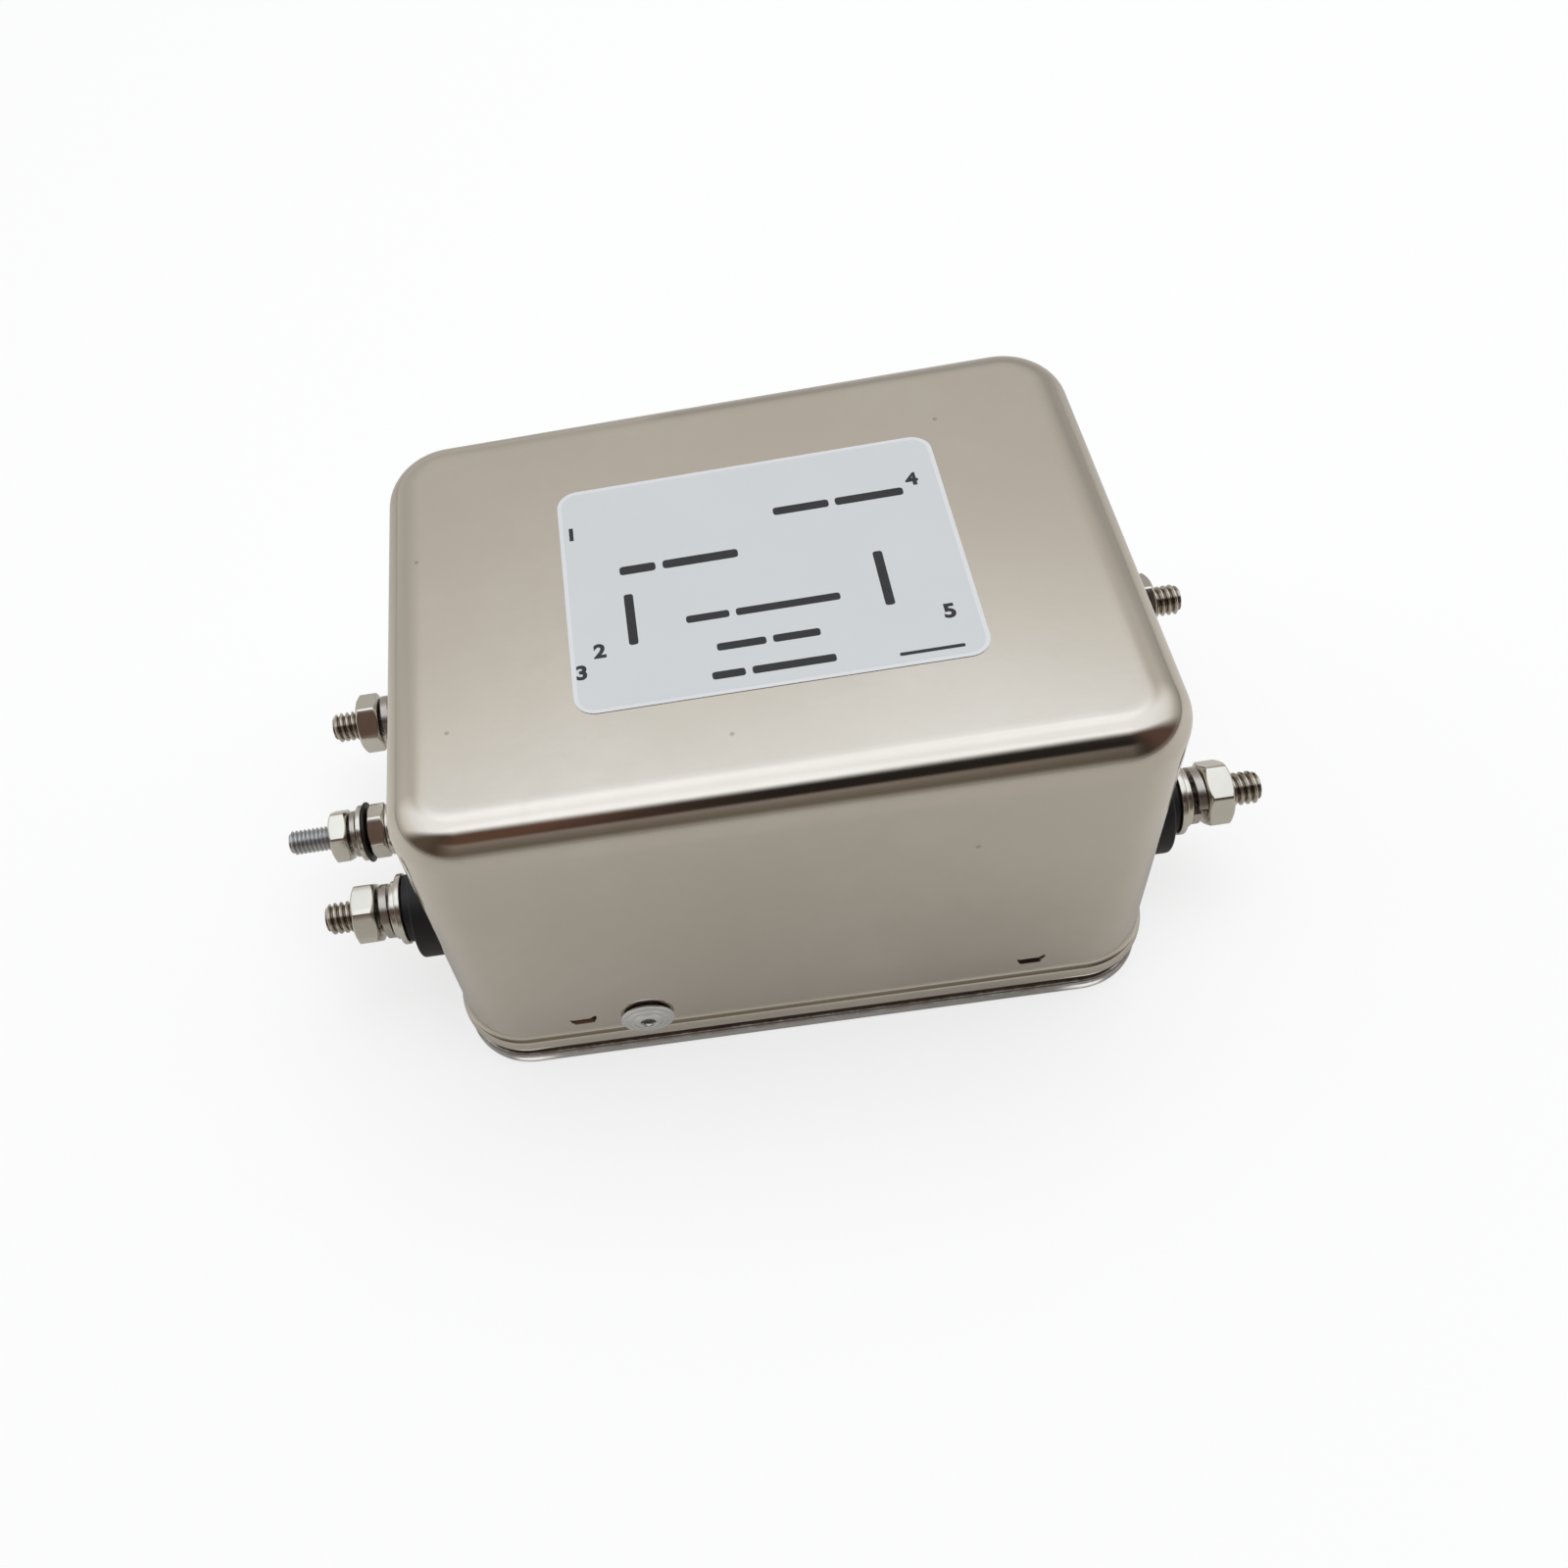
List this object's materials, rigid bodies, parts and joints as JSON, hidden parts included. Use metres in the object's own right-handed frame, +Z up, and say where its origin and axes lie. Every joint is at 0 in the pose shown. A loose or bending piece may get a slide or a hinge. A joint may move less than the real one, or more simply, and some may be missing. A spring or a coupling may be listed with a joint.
{
  "type": "EMI line filter",
  "caption": "Chassis-mounting mains interference filter in a drawn plated steel case, with insulated stud terminals on both ends and an earth stud.",
  "frame": {"origin": "middle of the mounting face, on the underside of the base", "axes": "+X towards the load end with two studs, -X the line end with three, -Y the front wall, +Z up out of the chassis"},
  "size_m": [0.15, 0.0812, 0.0606],
  "materials": {
    "nickel_case": "satin nickel plating",
    "base_steel": "satin zinc plating",
    "bright_nickel": "bright nickel plating",
    "spring_steel": "satin nickel plating",
    "black_steel": "black oxide",
    "aluminium": "satin",
    "black_moulding": "matt moulded",
    "label": "matt coated film",
    "board_laminate": "solder mask",
    "ferrite": "matt epoxy coating",
    "copper_wire": "clear enamel",
    "divider_plastic": "matt",
    "yellow_case": "gloss",
    "blue_case": "gloss"
  },
  "bodies": {
    "root": {"base_pan": "base_steel", "clinch_nuts": "bright_nickel", "board_pillars": "bright_nickel", "circuit_board": "board_laminate", "board_screws": "bright_nickel", "choke_saddle": "black_moulding", "choke_core": "ferrite", "choke_divider": "divider_plastic", "choke_winding_live": "copper_wire", "choke_winding_neutral": "copper_wire", "x_capacitor_line": "yellow_case", "x_capacitor_load": "yellow_case", "y_capacitor_live": "blue_case", "y_capacitor_neutral": "blue_case", "bleed_resistor": "blue_case", "case_can": "nickel_case", "case_rivets": "aluminium", "rating_label": "label", "insulator_line_live": "black_moulding", "insulator_line_neutral": "black_moulding", "insulator_load_live": "black_moulding", "insulator_load_neutral": "black_moulding", "collar_line_live": "black_moulding", "collar_line_neutral": "black_moulding", "collar_load_live": "black_moulding", "collar_load_neutral": "black_moulding", "stud_line_live": "bright_nickel", "stud_line_neutral": "bright_nickel", "stud_load_live": "bright_nickel", "stud_load_neutral": "bright_nickel", "large_washers": "bright_nickel", "flat_washers": "bright_nickel", "spring_washers": "spring_steel", "terminal_nuts": "bright_nickel", "inner_washers": "bright_nickel", "inner_nuts": "bright_nickel", "solder_tags": "bright_nickel", "lock_nuts": "bright_nickel", "stud_earth": "bright_nickel", "earth_spacer": "bright_nickel", "earth_clamp_nut": "bright_nickel", "earth_lock_washer": "black_steel", "earth_flat_washer": "bright_nickel", "earth_spring_washer": "spring_steel", "earth_nut": "bright_nickel", "earth_inner_nut": "bright_nickel", "earth_solder_tag": "bright_nickel", "earth_lock_nut": "bright_nickel"}
  },
  "joints": []
}
